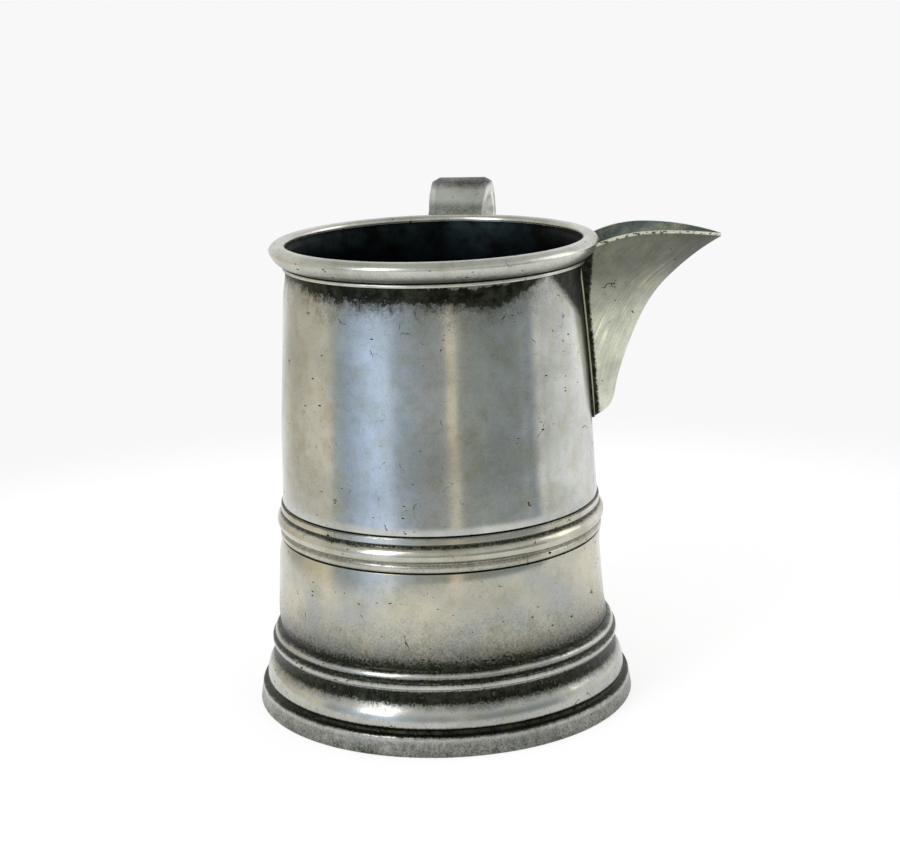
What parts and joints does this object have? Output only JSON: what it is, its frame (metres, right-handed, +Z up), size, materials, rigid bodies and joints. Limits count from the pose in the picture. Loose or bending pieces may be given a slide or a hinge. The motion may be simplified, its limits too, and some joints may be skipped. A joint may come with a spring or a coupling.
{
  "type": "spouted measure",
  "caption": "Tapered pewter quart measure with a moulded foot, mid hoop and rim, a V-shaped pouring spout with a strainer behind it, and a strap handle at the back.",
  "frame": {"origin": "centre of the foot, in the plane that the foot rests on, on the drum's axis", "axes": "+Z up the drum's axis, +X the way the spout pours; the handle stands 81.5 degrees from +X towards +Y, so the plain front faces -Y"},
  "size_m": [0.1595, 0.1661, 0.1669],
  "materials": {
    "pewter_wall": "old pewter, hand polished to a soft shine, with scratches and pits",
    "pewter_mouldings": "old pewter, brighter on the mouldings, dark in the grooves",
    "pewter_inside": "unpolished pewter, dull and dark",
    "pewter_spout": "pewter sheet, scraped and dull, greenish grey",
    "pewter_handle": "cast pewter, worn smooth",
    "solder": "wiped solder, a little lighter than the pewter"
  },
  "bodies": {
    "root": {"upper_drum": "pewter_wall", "lower_drum": "pewter_wall", "body_joint_solder": "solder", "rim": "pewter_mouldings", "mid_band": "pewter_mouldings", "foot": "pewter_mouldings", "base_plate": "pewter_inside", "base_solder": "solder", "spout_left_cheek": "pewter_spout", "spout_right_cheek": "pewter_spout", "spout_keel_solder": "solder", "spout_left_solder": "solder", "spout_right_solder": "solder", "handle": "pewter_handle", "handle_root_solder": "solder", "handle_strut": "pewter_handle", "handle_strut_solder": "solder"}
  },
  "joints": []
}
